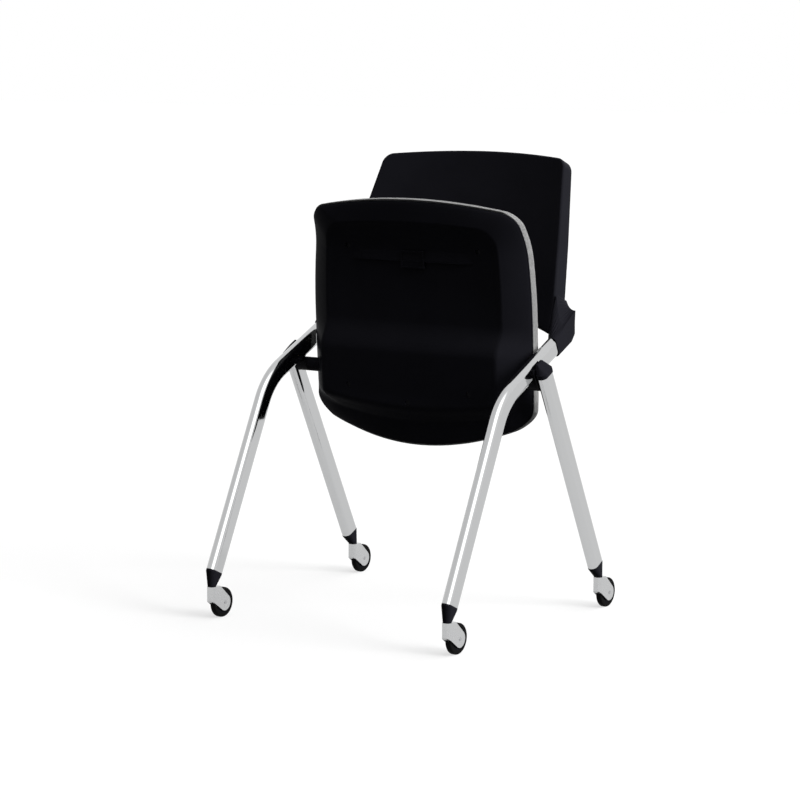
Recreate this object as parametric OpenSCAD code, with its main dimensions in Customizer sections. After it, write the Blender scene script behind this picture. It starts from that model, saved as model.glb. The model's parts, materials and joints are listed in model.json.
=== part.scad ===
// Nesting chair with a flip-up seat, four swivel casters and a moulded back.
// Millimetres, Z up, -Y towards the front. The seat is drawn folded up, as the chair
// stands when it is nested with others.

/* [Stance] */
// Distance between the front and rear caster stems, front to back
stem_base = 472; // [450:1:500]
// Distance between the centres of the two front tubes
front_track = 513; // [505:1:540]
// Height of the face that each caster stem comes out of
stem_face_z = 61; // [60:0.5:66]
// Height of the centre of each leg's lower end
foot_z = 88; // [86:0.5:94]
// Height at which the leg's and the arm's centrelines of a front tube would meet
bend_z = 423; // [405:1:440]
// Lean of the legs from upright, degrees
leg_lean = 26.3; // [24:0.1:28]
// Rise of a front tube's upper arm above level, degrees
arm_rise = 24.9; // [23:0.1:27]

/* [Tubes] */
// Width of the flat-oval tube, side to side
tube_w = 20; // [18:0.5:22]
// Depth of the flat-oval tube, front to back
tube_d = 36; // [33:0.5:38]
// Wall of the flat-oval tube
tube_wall = 1.5; // [1.2:0.1:2.5]
// Bend radius of the front tube, on its centreline
bend_r = 120; // [90:1:140]
// How far the plug of the back's ear reaches into the front tube
plug_len = 40; // [25:1:60]

/* [Hinge] */
// Diameter of the cross tube that the seat turns on
axle_d = 18; // [16:0.5:20]
// Wall of the cross tube
axle_wall = 2; // [1.5:0.1:3]
// Outside diameter of the hinge barrels and collars
barrel_d = 26; // [24:0.5:27]
// Length of each hinge barrel
barrel_len = 58; // [45:1:70]
// Thickness of the bracket plate between a front tube and its rear leg
plate_t = 2; // [1.5:0.1:3]
// Angle of the folded seat above its modelled level, degrees
fold_angle = 87; // [84:0.5:90]
// Travel of the seat from folded to ready, degrees
seat_travel = 84; // [80:1:86]

/* [Seat] */
// Gap between each side of the seat pan and the front tube beside it
pan_clear = 8.5; // [7.5:0.1:14]
// Length of the seat pan, front edge to rear edge
pan_len = 445; // [430:1:455]
// Distance from the hinge axis to the pan's rear edge
pan_rear = 128; // [124:1:136]
// Depth of the pan's flank from its rim to its crest
pan_depth = 27; // [24:0.5:29]
// Thickness of the pan's moulded skin
pan_skin = 3; // [2.5:0.1:4]
// Height of the pan's rim above the hinge axis
rim_t = 17; // [15.5:0.5:19]
// How far the front edge rolls down
waterfall = 40; // [15:0.5:45]
// How far the rear edge rolls down
rear_roll = 27; // [5:0.5:32]
// Thickness of the plywood seat board
board_t = 9; // [8:0.5:10]
// Height of the cushion's side
cushion_side = 21; // [16:0.5:26]
// Crown of the cushion above its side
cushion_crown = 13; // [6:0.5:18]
// How far the cushion overhangs the pan's rim
cushion_over = 2; // [1:0.1:2.4]

/* [Back] */
// Width of the back across its top
back_top_w = 400; // [385:1:415]
// Distance of each end of the back's lower edge from the plane of a tube's inner face
back_clear = 3.5; // [2.5:0.1:7.5]
// Height of the back along its lean
back_h = 352; // [335:1:365]
// Lean of the back from upright, degrees
back_lean = 21.6; // [20:0.1:23]
// Depth of the back's plan curve
back_sag = 26; // [15:0.5:45]
// Thickness of the back's side at the top
back_t_top = 30; // [28:0.5:33]
// Thickness of the back's side at the bottom
back_t_low = 41; // [38:0.5:44]
// Rise of the arch in the back's lower edge
back_arch = 55; // [40:1:65]
// Thickness of the back's moulded skin
back_skin = 3.5; // [3:0.1:5]

/* [Casters] */
// Radius of a caster wheel
wheel_r = 27.5; // [25:0.5:28]
// Width of a caster wheel
wheel_w = 11; // [9:0.5:12]
// Trail of a caster wheel behind its stem
trail = 28; // [26:0.5:30]
// Width of a caster fork
fork_w = 17.5; // [16.5:0.5:20]
// Diameter of a caster stem
stem_d = 8; // [7:0.5:8.5]
// Height of a caster stem above the fork
stem_h = 18; // [14:0.5:20]

/* [Hidden] */
$fn = 64;

// Overrun of a cut past the face that it opens
over = 1;
// Gap between pieces that lie against each other
gap = 0.3;
// Radial clearance of a shaft in its bore
run = 0.06;

// Places of the frame, seen from the side: y from the front stems, z from the floor
front_foot_in = 7.5;
rear_foot_in = 12.5;
front_x = front_track / 2;
rear_x = front_x + tube_w + plate_t + 2 * gap;
pan_w = front_track - tube_w - 2 * pan_clear;
back_low_w = front_track - tube_w - 2 * back_clear;
front_foot = [front_foot_in, foot_z];
rear_foot = [stem_base - rear_foot_in, foot_z];
leg_dir = [sin(leg_lean), cos(leg_lean)];
rear_dir = [-sin(leg_lean), cos(leg_lean)];
arm_dir = [cos(arm_rise), sin(arm_rise)];
turn = 90 - leg_lean - arm_rise;
leg_run = (bend_z - foot_z) / cos(leg_lean);
corner = front_foot + leg_run * leg_dir;
bend_run = bend_r * tan(turn / 2);

// Crossing of the rear leg's centreline with the arm's, as lengths along both
cross_det = arm_dir[0] * rear_dir[1] - arm_dir[1] * rear_dir[0];
foot_gap = rear_foot - corner;
arm_to_cross = (foot_gap[0] * rear_dir[1] - foot_gap[1] * rear_dir[0]) / cross_det;
leg_to_cross = (foot_gap[0] * arm_dir[1] - foot_gap[1] * arm_dir[0]) / cross_det;
crossing = corner + arm_to_cross * arm_dir;
skew = leg_lean - arm_rise;

// The hinge axis lies on the rear leg's centreline, just under the front tube
axis_drop = (tube_d / 2 + barrel_d / 2 + gap) / cos(skew);
axis = crossing - axis_drop * rear_dir;

// The arm's end, where its ear begins
mouth_run = 183;
mouth = corner + mouth_run * arm_dir;
arm_normal = [-arm_dir[1], arm_dir[0]];

// Bands that join the runs of the bent tube
band = 1;
band_lift = 0.03;

// Leg caps
cap_side_h = 8;
cap_lip = 1;
cap_sunk = 11.3;
cap_peak_y = -5;
cap_peak = [4, 17, 23];
cap_plug = axis_drop - cap_sunk - axle_d / 2 - gap;
leg_top = leg_to_cross - cap_sunk;

// Ferrules and stem sleeves
ferrule_face_r = 7.8;
ferrule_face_t = 3;
ferrule_plug = 18;
plug_gap = 0.2;
sleeve_wall = 1.1;
stem_end_gap = 1;
sleeve_r = stem_d / 2 + run;

// Hinge parts
collar_proud = 3.5;
collar_face_x = front_x - tube_w / 2 - collar_proud;
tooth_len = 4;
end_play = 0.5;
axle_short = 5;
axle_end_x = rear_x + tube_w / 2 - axle_short;
full_turn = 360;
collar_tooth = 130;
stop_play = 1;
barrel_tooth = full_turn - collar_tooth - seat_travel - 2 * stop_play;
collar_tooth_start = 20;
barrel_wall = 2.5;
barrel_room = 1;
bush_r = barrel_d / 2 - barrel_wall;
tooth_r = bush_r + gap;
foot_plate = [30, 40, 2.5];

// Seat
pan_corner_front = 28;
pan_corner_rear = 40;
recess_corner = 34;
pan_bow_front = 21;
pan_bow_rear = 50;
pan_half = pan_len / 2;
pan_front = pan_len - pan_rear;
pan_mid = pan_half - pan_rear;
pan_front_narrow = 17;
pan_rear_narrow = 2;
flank = 46;
flank_front_share = 0.8;
flank_shares = [0, 0.04, 0.15, 0.33, 0.54, 0.78, 1];
flank_power = 0.7;
recess_edge = 7;
recess_shares = [1, 0.88, 0.74, 0.6, 0.46, 0.34, 0.23, 0.14, 0.06];
waterfall_from = 216;
rear_roll_from = 30;
crest_t = rim_t - pan_depth;
recess_deep = 7;
recess_start_share = 0.4;
recess_run_share = 0.3;
pan_side_steps = 17;
belly_room = 20;
belly_t = -axle_d / 2 - pan_skin - belly_room;
belly_front = [96, 56];
belly_rear = [-90, 36];
front_rise = 124;
ridge_s = 217;
ridge_half = 11;
ridge_step = 2;
ridge_rise = 4;
ridge_w = 270;
block = [50, 31, 7];
block_s = 210;
block_x = 2;
block_lip = 3;
block_sink = 1.5;
screw_r = 2.5;
screw_head_r = 5;
screw_head_h = 2;
screw_bite = 6;
screw_sunk = 4;
boss_r = 7.5;
boss_gap = 0.6;
screw_front_in = [95, 87];
screw_rear_in = [106, 103];
screw_mid_in = 78;
screw_places = [
    for (u = [-1, 1]) [u * (pan_w / 2 - screw_front_in[0]), pan_front - screw_front_in[1]],
    for (u = [-1, 1]) [u * (pan_w / 2 - screw_rear_in[0]), screw_rear_in[1] - pan_rear],
    [0, screw_mid_in - pan_rear]];
board_in = 16;
board_shares = [0.88, 0.74, 0.6, 0.46, 0.3, 0.15];
cushion_in = 7;
cushion_end_over = 3.5;
cushion_lip = 1.8;
cushion_side_shares = [[0, 0], [0.8, 0.16], [1, 0.5], [0.6, 0.82], [-1, 1]];
crown_shares = [0.94, 0.82, 0.66, 0.45, 0.22];
crown_power = 3;

// Back: its lower side corner along and across the arm from its end, and the outline's shape
back_on_arm = [16, 16.8];
back_crown = 20;
back_corner = 20;
back_low_corner = 8;
back_splay_share = 0.73;
back_edge_r = 5;
rear_panel_t = 3;
rear_panel_lift = 1;
back_edge_share = 0.3;
back_shares = [0.88, 0.7, 0.48, 0.24];
back_dir = [sin(back_lean), cos(back_lean)];
back_normal = [cos(back_lean), -sin(back_lean)];
back_foot = mouth + back_on_arm[0] * arm_dir + back_on_arm[1] * arm_normal;

// The chair's middle, from its foremost ferrule corner to its rearmost wheel or top edge
y_front = front_foot_in - tube_d / 2 * cos(leg_lean) - (gap + ferrule_face_t) * sin(leg_lean);
back_rear = back_foot + back_h * back_dir + (back_t_top + back_sag) * back_normal;
y_rear = max(stem_base + trail + wheel_r, back_rear[0]);
y_mid = (y_front + y_rear) / 2;

// Ears, in lengths along and across the arm from its end
ear_proud = 1.2;
ear_top = [81, 30];
ear_rear = [64, 14];
ear_low_run = 50;
ear_shoulder = 74;
ear_crease_share = 0.45;
ear_shares = [0, 0.06, 0.14, 0.24, 0.36, 0.5, 0.66, 0.8, 0.9, 0.96, 1];
ear_round_power = 4;
ear_sweep_power = 2.2;

// Caster forks
axle_r = 3;
fork_head_r = 7.8;
fork_head_z = 35;
fork_head_back = 14;
fork_arm_r = 15;
slot_gap = 1.2;
axle_proud = 0.6;
hub_r = 20;
hub_boss = 4;
hub_slope = 1;
hub_web_in = 1.5;
hub_rim = 2;
hub_rim_in = 0.5;
tread_round = 3;

// Bumper studs on the tubes beside the folded seat
bumper_r = 4.5;
bumper_up = 9;
bumper_run = 19;
bumper_h = 3;
bumper_round = 1.5;

function lerp(a, b, t) = a + (b - a) * t;
function sum_of(ring, i, last) = last < 0 ? 0 : ring[last][i] + sum_of(ring, i, last - 1);
function ease(t) = let (c = min(1, max(0, t))) c * c * (3 - 2 * c);

// Outline of a rectangle, 2 a wide and 2 b high, with corners of two radii: corner arcs and
// evenly divided sides, always with the same number of points
corner_steps = 7;
side_steps = 9;
function corner_arc(x, y, r, start) =
    [for (i = [0 : corner_steps]) [x + r * cos(start + 90 * i / corner_steps),
        y + r * sin(start + 90 * i / corner_steps)]];
function between(p, q, steps) = [for (i = [1 : steps]) lerp(p, q, i / (steps + 1))];
function outline(a, b, top_r, low_r, steps = side_steps) =
    concat(
        corner_arc(a - top_r, b - top_r, top_r, 0),
        between([a - top_r, b], [top_r - a, b], steps),
        corner_arc(top_r - a, b - top_r, top_r, 90),
        between([-a, b - top_r], [-a, low_r - b], steps),
        corner_arc(low_r - a, low_r - b, low_r, 180),
        between([low_r - a, -b], [a - low_r, -b], steps),
        corner_arc(a - low_r, low_r - b, low_r, 270),
        between([a, low_r - b], [a, b - top_r], steps));
function turned(ring) = [for (j = [len(ring) - 1 : -1 : 0]) ring[j]];

// A closed skin from two stacks of rings that share their outer edge count:
// the first stack lies outside, the second inside, and each ends in a middle point
module skin(outer, inner, outer_mid, inner_mid) {
    n = len(outer[0]);
    k = len(outer);
    m = len(inner);
    points = concat([for (r = outer) each r], [for (r = inner) each r], [outer_mid, inner_mid]);
    o = function(i, j) i * n + j % n;
    q = function(i, j) (k + i) * n + j % n;
    mid_o = (k + m) * n;
    faces = concat(
        [for (i = [0 : k - 2], j = [0 : n - 1]) each
            [[o(i, j), o(i, j + 1), o(i + 1, j + 1)], [o(i, j), o(i + 1, j + 1), o(i + 1, j)]]],
        [for (j = [0 : n - 1]) [o(k - 1, j), o(k - 1, j + 1), mid_o]],
        [for (i = [0 : m - 2], j = [0 : n - 1]) each
            [[q(i, j + 1), q(i, j), q(i + 1, j + 1)], [q(i + 1, j + 1), q(i, j), q(i + 1, j)]]],
        [for (j = [0 : n - 1]) [q(m - 1, j + 1), q(m - 1, j), mid_o + 1]],
        [for (j = [0 : n - 1]) each
            [[o(0, j + 1), o(0, j), q(0, j)], [o(0, j + 1), q(0, j), q(0, j + 1)]]]);
    polyhedron(points, faces);
}

module to_origin() {
    translate([0, -y_mid, 0])
        children();
}

module side(s) {
    to_origin()
        mirror([s < 0 ? 1 : 0, 0, 0])
            children();
}

// Puts what is drawn along +Z at a point of the side view, along a direction in it
module along(x, at, direction) {
    translate([x, at[0], at[1]])
        rotate([-atan2(direction[0], direction[1]), 0, 0])
            children();
}

module flat_oval(w, d) {
    square([w, d - w], center = true);
    for (s = [-1, 1])
        translate([0, s * (d - w) / 2])
            circle(d = w);
}

module tube_ring() {
    difference() {
        flat_oval(tube_w, tube_d);
        flat_oval(tube_w - 2 * tube_wall, tube_d - 2 * tube_wall);
    }
}

// Section of a plug that fits inside the tube
module plug_section() {
    flat_oval(tube_w - 2 * tube_wall - 2 * plug_gap, tube_d - 2 * tube_wall - 2 * plug_gap);
}

// Frame

// The front tube's run, filled, for a section of the given size: two straight runs, the bend
// between them and a thin band over each place where they meet
module tube_run(w, d, extra) {
    bend_at = front_foot + (leg_run - bend_run) * leg_dir;
    arm_at = corner + bend_run * arm_dir;
    along(front_x, front_foot - extra * leg_dir, leg_dir)
        linear_extrude(leg_run - bend_run + extra - band / 4)
            flat_oval(w, d);
    along(front_x, bend_at, leg_dir)
        translate([0, bend_r, 0])
            rotate([0, 0, -90])
                rotate([90, 0, 0])
                    rotate_extrude(angle = turn)
                        translate([bend_r, 0])
                            rotate(90)
                                flat_oval(w, d);
    along(front_x, arm_at + band / 4 * arm_dir, arm_dir)
        linear_extrude(mouth_run - gap - bend_run + extra - band / 4)
            flat_oval(w, d);
    along(front_x, bend_at - band / 2 * leg_dir, leg_dir)
        linear_extrude(band)
            flat_oval(w + band_lift, d + band_lift);
    along(front_x, arm_at - band / 2 * arm_dir, arm_dir)
        linear_extrude(band)
            flat_oval(w + band_lift, d + band_lift);
}

module front_tube(s) {
    color([0.78, 0.79, 0.8])
        side(s)
            difference() {
                tube_run(tube_w, tube_d, 0);
                tube_run(tube_w - 2 * tube_wall, tube_d - 2 * tube_wall, over);
            }
}

module rear_leg(s) {
    color([0.78, 0.79, 0.8])
        side(s)
            difference() {
                along(rear_x, rear_foot, rear_dir)
                    linear_extrude(leg_top)
                        tube_ring();
                translate([0, axis[0], axis[1]])
                    rotate([0, 90, 0])
                        cylinder(r = axle_d / 2 + run, h = axle_end_x + over);
            }
}

// Sector of a tube wall about X, from x0 over a length, for the stop teeth
module tooth(x0, length, start, sweep) {
    translate([x0, 0, 0])
        rotate([90, 0, 90])
            rotate([0, 0, start])
                rotate_extrude(angle = sweep)
                    translate([tooth_r, 0])
                        square([barrel_d / 2 - gap - tooth_r, length]);
}

module pivot_bracket(s) {
    plate_x = front_x + tube_w / 2 + gap;
    color([0.07, 0.07, 0.08])
        side(s) {
            difference() {
                translate([plate_x, 0, 0])
                    rotate([90, 0, 90])
                        linear_extrude(plate_t)
                            hull() {
                                translate(axis)
                                    circle(d = barrel_d + over, $fn = 32);
                                for (u = [-1, 1])
                                    translate(crossing + u * tube_d / 3 * arm_dir)
                                        circle(r = tube_w / 4, $fn = 24);
                            }
                translate([0, axis[0], axis[1]])
                    rotate([0, 90, 0])
                        cylinder(r = axle_d / 2 + run, h = rear_x);
            }
            translate([0, axis[0], axis[1]]) {
                difference() {
                    translate([collar_face_x, 0, 0])
                        rotate([0, 90, 0])
                            cylinder(d = barrel_d, h = plate_x - collar_face_x + plate_t / 2);
                    rotate([0, 90, 0])
                        cylinder(r = axle_d / 2 + run, h = rear_x);
                }
                tooth(collar_face_x - tooth_len, tooth_len + over, collar_tooth_start, collar_tooth);
            }
        }
}

module leg_cap(s) {
    color([0.08, 0.08, 0.09])
        side(s)
            along(rear_x, rear_foot + (leg_top + gap) * rear_dir, rear_dir) {
                hull() {
                    translate([cap_lip / 2, 0, 0])
                        linear_extrude(cap_side_h)
                            flat_oval(tube_w + cap_lip, tube_d + 2 * cap_lip, $fn = 32);
                    translate([-tube_w / 2, cap_peak_y, 0])
                        cube(cap_peak);
                }
                translate([0, 0, -cap_plug])
                    linear_extrude(cap_plug + cap_side_h / 2)
                        plug_section();
            }
}

module cross_tube() {
    color([0.2, 0.2, 0.21])
        to_origin()
            translate([-axle_end_x, axis[0], axis[1]])
                rotate([0, 90, 0])
                    difference() {
                        cylinder(d = axle_d, h = 2 * axle_end_x);
                        translate([0, 0, -over])
                            cylinder(d = axle_d - 2 * axle_wall, h = 2 * axle_end_x + 2 * over);
                    }
}

// Leg end fitting: a flat oval at the tube that narrows to a round face over the caster stem
module ferrule(s, front) {
    x = front ? front_x : rear_x;
    foot = front ? front_foot : rear_foot;
    direction = front ? leg_dir : rear_dir;
    stem_y = front ? 0 : stem_base;
    color([0.06, 0.06, 0.07])
        side(s) {
            difference() {
                hull() {
                    along(x, foot - (gap + ferrule_face_t) * direction, direction)
                        linear_extrude(ferrule_face_t)
                            flat_oval(tube_w, tube_d, $fn = 32);
                    translate([x, stem_y, stem_face_z])
                        cylinder(r = ferrule_face_r, h = ferrule_face_t, $fn = 32);
                }
                translate([x, stem_y, stem_face_z - over])
                    cylinder(r = sleeve_r + sleeve_wall, h = stem_h + stem_end_gap + over);
            }
            along(x, foot - (gap + ferrule_face_t / 2) * direction, direction)
                linear_extrude(ferrule_plug + ferrule_face_t / 2)
                    plug_section();
        }
}

module stem_sleeves() {
    color([0.5, 0.5, 0.52])
        for (s = [-1, 1], front = [true, false])
            side(s)
                translate([front ? front_x : rear_x, front ? 0 : stem_base, stem_face_z])
                    difference() {
                        cylinder(r = sleeve_r + sleeve_wall, h = stem_h + stem_end_gap);
                        translate([0, 0, -over])
                            cylinder(r = sleeve_r, h = stem_h + stem_end_gap + 2 * over);
                    }
}

// Back ears: the black ends that plug into the front tubes and sweep up to the back's sides
ear_in_x = back_low_w / 2 + gap;
ear_out_x = front_x + tube_w / 2 + ear_proud;
ear_half = tube_d / 2 + ear_proud;
function on_arm(p) = mouth + p[0] * arm_dir + p[1] * arm_normal;

// The ear's outline at a share of its width, from 0 at the inner face to 1 at the outer one
function ear_ring(f) =
    let (
        x = lerp(ear_in_x, ear_out_x, f),
        w = sqrt(max(0, 1 - pow(2 * f - 1, ear_round_power))),
        deep = lerp(tube_w / 2, ear_half, w),
        g = pow(1 - f, ear_sweep_power),
        lip = on_arm([0, ear_half]),
        peak = on_arm(ear_top),
        strip = back_foot + ear_shoulder * back_dir,
        strip_rear = strip + lerp(back_t_low, back_t_top, ear_shoulder / back_h) * back_normal,
        ring = [on_arm([0, -deep]), lerp(on_arm([0, deep]), back_foot, g),
            lerp(lerp(lip, peak, ear_crease_share), strip, g), lerp(peak, strip_rear, g),
            on_arm([ear_rear[0], -ear_rear[1] * w]), on_arm([ear_low_run, -deep])])
    [for (p = ring) [x, p[0], p[1]]];

module ear_body() {
    rings = [for (f = ear_shares) ear_ring(f)];
    n = len(rings[0]);
    k = len(rings);
    mids = [for (r = [rings[0], rings[k - 1]]) [for (i = [0 : 2]) sum_of(r, i, n - 1) / n]];
    faces = concat(
        [for (j = [0 : n - 1]) [(j + 1) % n, j, k * n]],
        [for (j = [0 : n - 1]) [(k - 1) * n + j, (k - 1) * n + (j + 1) % n, k * n + 1]],
        [for (i = [0 : k - 2], j = [0 : n - 1]) each
            [[(i + 1) * n + j, i * n + j, (i + 1) * n + (j + 1) % n],
             [(i + 1) * n + (j + 1) % n, i * n + j, i * n + (j + 1) % n]]]);
    polyhedron(concat([for (r = rings) each r], mids), faces);
}

module back_ear(s) {
    color([0.07, 0.07, 0.08])
        side(s) {
            ear_body();
            along(front_x, corner + (mouth_run - plug_len) * arm_dir, arm_dir)
                linear_extrude(plug_len + ear_low_run / 2)
                    plug_section();
        }
}

// Back: a point is placed across, along the lean from the middle, and behind the front edges
function back_share(y) = 2 * y / back_h;
function back_half(y) =
    min(back_low_w, lerp(back_low_w, back_top_w,
        (back_share(y) + back_splay_share) / (1 + back_splay_share))) / 2;
function back_side_t(y) = lerp(back_t_low, back_t_top, (back_share(y) + 1) / 2);
function back_point(c, n) =
    let (
        u = 2 * c[0] / back_low_w,
        v = back_share(c[1]),
        x = u * back_half(c[1]),
        h = back_h / 2 + c[1] - (v > 0 ? back_crown * u * u : back_arch * (1 - u * u)) * v,
        p = back_foot + h * back_dir + (n + back_sag * (1 - u * u)) * back_normal)
    [x, p[0], p[1]];
function back_outline(inset) =
    outline(back_low_w / 2 - inset, back_h / 2 - inset, max(back_edge_r, back_corner - inset),
        max(back_skin, back_low_corner - inset));
function back_ring(inset, share, n) = [for (c = back_outline(inset)) back_point(c * share, n)];
// A ring whose depth follows the tapering side
function back_rim(inset, share, depth_in) =
    [for (c = back_outline(inset)) back_point(c * share, back_side_t(c[1] * share) - depth_in)];

module back_shell() {
    outer = concat(
        [back_rim(0, 1, 0), back_ring(0, 1, back_edge_r)],
        [back_ring(back_edge_r * back_edge_share, 1, back_edge_r * back_edge_share)],
        [back_ring(back_edge_r, 1, 0)],
        [for (k = back_shares) back_ring(back_edge_r, k, 0)]);
    inner = concat(
        [back_rim(back_skin, 1, 0), back_ring(back_skin, 1, back_edge_r + back_skin)],
        [back_ring(back_skin + back_edge_r, 1, back_skin)],
        [for (k = back_shares) back_ring(back_skin + back_edge_r, k, back_skin)]);
    color([0.05, 0.05, 0.06])
        to_origin()
            skin(outer, inner, back_point([0, 0], 0), back_point([0, 0], back_skin));
}

module back_rear_panel() {
    inset = back_skin + gap;
    outer = concat(
        [back_rim(inset, 1, rear_panel_t), back_rim(inset, 1, 0)],
        [back_rim(inset + rear_panel_lift, 1, -rear_panel_lift)],
        [for (k = back_shares) back_rim(inset + rear_panel_lift, k, -rear_panel_lift)]);
    inner = concat(
        [back_rim(inset + rear_panel_lift, 1, rear_panel_t)],
        [for (k = back_shares) back_rim(inset + rear_panel_lift, k, rear_panel_t - rear_panel_lift)]);
    deep = back_side_t(0) + rear_panel_lift;
    color([0.07, 0.07, 0.08])
        to_origin()
            skin([for (r = outer) turned(r)], [for (r = inner) turned(r)],
                back_point([0, 0], deep), back_point([0, 0], deep - rear_panel_t));
}

module side_bumpers() {
    color([0.04, 0.04, 0.04])
        for (s = [-1, 1])
            side(s) {
                p = crossing + bumper_run * arm_dir + bumper_up * arm_normal;
                translate([front_x - tube_w / 2 - gap, p[0], p[1]])
                    rotate([0, -90, 0]) {
                        cylinder(r = bumper_r, h = bumper_h);
                        translate([0, 0, bumper_h])
                            cylinder(r1 = bumper_r, r2 = bumper_r - bumper_round, h = bumper_round);
                    }
            }
}

// Seat, drawn level about the hinge axis with its front towards -Y, then folded up.
// s runs forwards from the axis and t upwards from it
module fold() {
    to_origin()
        translate([0, axis[0], axis[1]])
            rotate([-fold_angle, 0, 0])
                children();
}

function drop(s) =
    waterfall * pow(max(0, s - waterfall_from) / (pan_front - waterfall_from), 2)
        + rear_roll * pow(max(0, -s - rear_roll_from) / (pan_rear - rear_roll_from), 2);
function seat_point(c, t) =
    let (
        v = c[1] / pan_half,
        u = 2 * c[0] / pan_w,
        x = c[0] - (v > 0 ? pan_front_narrow : pan_rear_narrow) * v * v * u,
        s = pan_mid + c[1] - (v > 0 ? pan_bow_front : -pan_bow_rear) * v * v * u * u)
    [x, -s, t - drop(s)];
function seat_outline(inset, steps = side_steps) =
    let (front_in = inset * flank_front_share)
    [for (c = outline(pan_w / 2 - inset, pan_half - (inset + front_in) / 2,
            lerp(pan_corner_front, recess_corner, inset / flank),
            lerp(pan_corner_rear, recess_corner, inset / flank), steps))
        c + [0, (inset - front_in) / 2]];

// Share of the belly's depth along the seat: it swells over the hinge
function swell(s) =
    ease((belly_front[0] - s) / belly_front[1]) * ease((s - belly_rear[0]) / belly_rear[1]);
// Height of the pan's outer face along the seat, inside the flank
function belly(s, deep = recess_deep) =
    lerp(crest_t + deep * ease((s - belly_front[0] / 2) / front_rise), belly_t, swell(s));
function pan_t(d, s) =
    rim_t - (rim_t - lerp(crest_t, belly_t, swell(s))) * pow(sin(90 * min(1, d / flank)), flank_power);
function pan_ring(d, in, lift) =
    [for (c = seat_outline(d + in, pan_side_steps)) seat_point(c, pan_t(d, pan_mid + c[1]) + lift)];
function pan_inner_ring(share, lift) =
    let (deep = recess_deep * lerp(recess_start_share, 1, ease((1 - share) / recess_run_share)))
    [for (c = seat_outline(flank + recess_edge, pan_side_steps)) let (q = c * share)
        seat_point(q, belly(pan_mid + q[1], deep) + lift)];

module pan_body() {
    inner_shares = [for (k = flank_shares) if (k * flank > 2 * pan_skin) k];
    outer = concat([for (k = flank_shares) pan_ring(k * flank, 0, 0)],
        [for (k = recess_shares) pan_inner_ring(k, 0)]);
    inner = concat([pan_ring(0, pan_skin, 0)],
        [for (k = inner_shares) pan_ring(k * flank, (1 - k) * pan_skin, pan_skin)],
        [for (k = recess_shares) pan_inner_ring(k, pan_skin)]);
    mid = [0, -pan_mid, belly(pan_mid) - drop(pan_mid)];
    skin([for (r = outer) turned(r)], [for (r = inner) turned(r)], mid, mid + [0, 0, pan_skin]);
}

// Height of the board's underside over the axis at a place along the seat
function board_low(s) = rim_t - board_t - drop(s);
function floor_t(s) = belly(s) - drop(s);
// A boss ends just under the board, which may slope over it
function boss_top(s) = min(board_low(s - boss_r), board_low(s + boss_r)) - boss_gap;

module seat_pan() {
    color([0.06, 0.06, 0.07])
        fold()
            difference() {
                union() {
                    pan_body();
                    for (p = screw_places)
                        translate([p[0], -p[1], floor_t(p[1]) + pan_skin / 2])
                            cylinder(r = boss_r, h = boss_top(p[1]) - floor_t(p[1]) - pan_skin / 2);
                    translate([-ridge_w / 2, -ridge_s, floor_t(ridge_s) + pan_skin / 2])
                        rotate([90, 0, 90])
                            linear_extrude(ridge_w)
                                polygon([[-ridge_half, 0], [-ridge_half, -pan_skin / 2],
                                    [ridge_half - ridge_step, -ridge_rise - pan_skin / 2],
                                    [ridge_half, -pan_skin / 2], [ridge_half, 0]]);
                }
                for (p = screw_places)
                    translate([p[0], -p[1], floor_t(p[1]) - pan_depth / 2]) {
                        cylinder(r = screw_r + plug_gap,
                            h = pan_depth / 2 + board_low(p[1]) - floor_t(p[1]) + over);
                        cylinder(r = screw_head_r + gap, h = pan_depth / 2 + screw_sunk);
                    }
                translate([block_x - block[0] / 2 - gap, -block_s - block[1] / 2 - gap,
                        floor_t(block_s) - pan_depth / 2])
                    cube([block[0] + 2 * gap, block[1] + 2 * gap, pan_depth / 2 + block_sink]);
                for (s = [-1, 1])
                    mirror([s < 0 ? 1 : 0, 0, 0])
                        translate([barrel_in_x - gap, 0, 0])
                            rotate([0, 90, 0])
                                cylinder(r = barrel_d / 2 + barrel_room, h = pan_w / 2 - barrel_in_x + over);
            }
}

// The board's rings, which the cushion's underside repeats just above them
function board_ring(share, t) = [for (c = seat_outline(board_in)) seat_point(c * share, t)];
function board_face(t) = concat([board_ring(1, t)], [for (k = board_shares) board_ring(k, t)]);

module seat_board() {
    color([0.72, 0.58, 0.4])
        fold()
            difference() {
                skin(board_face(rim_t), board_face(rim_t - board_t), [0, -pan_mid, rim_t],
                    [0, -pan_mid, rim_t - board_t]);
                for (p = screw_places)
                    translate([p[0], -p[1], board_low(p[1]) - over])
                        cylinder(r = screw_r + run, h = screw_bite + over + gap);
                translate([-pan_w / 2, 0, 0])
                    rotate([0, 90, 0])
                        cylinder(r = axle_d / 2 + gap, h = pan_w);
                for (s = [-1, 1])
                    mirror([s < 0 ? 1 : 0, 0, 0])
                        translate([barrel_in_x - gap, 0, 0])
                            rotate([0, 90, 0])
                                cylinder(r = barrel_d / 2 + gap, h = pan_w / 2 - barrel_in_x);
            }
}

// Cushion: rings from the underside's edge round the bulging side to the crown
function cushion_ring(out, share, t) =
    [for (c = outline(pan_w / 2 + out, pan_half + cushion_end_over + out, pan_corner_front,
            pan_corner_rear))
        seat_point(c * share, t)];

module seat_cushion() {
    low = rim_t + gap;
    edge = rim_t + cushion_lip;
    top = low + cushion_side;
    upper = concat(
        [for (k = cushion_side_shares) cushion_ring(cushion_over * k[0], 1, lerp(edge, top, k[1]))],
        [for (k = crown_shares) cushion_ring(0, k, top + cushion_crown * (1 - pow(k, crown_power)))]);
    lower = concat([cushion_ring(-cushion_in, 1, edge)], board_face(low));
    color([0.62, 0.63, 0.64])
        fold()
            skin(upper, lower, [0, -pan_mid, top + cushion_crown], [0, -pan_mid, low]);
}

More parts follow.
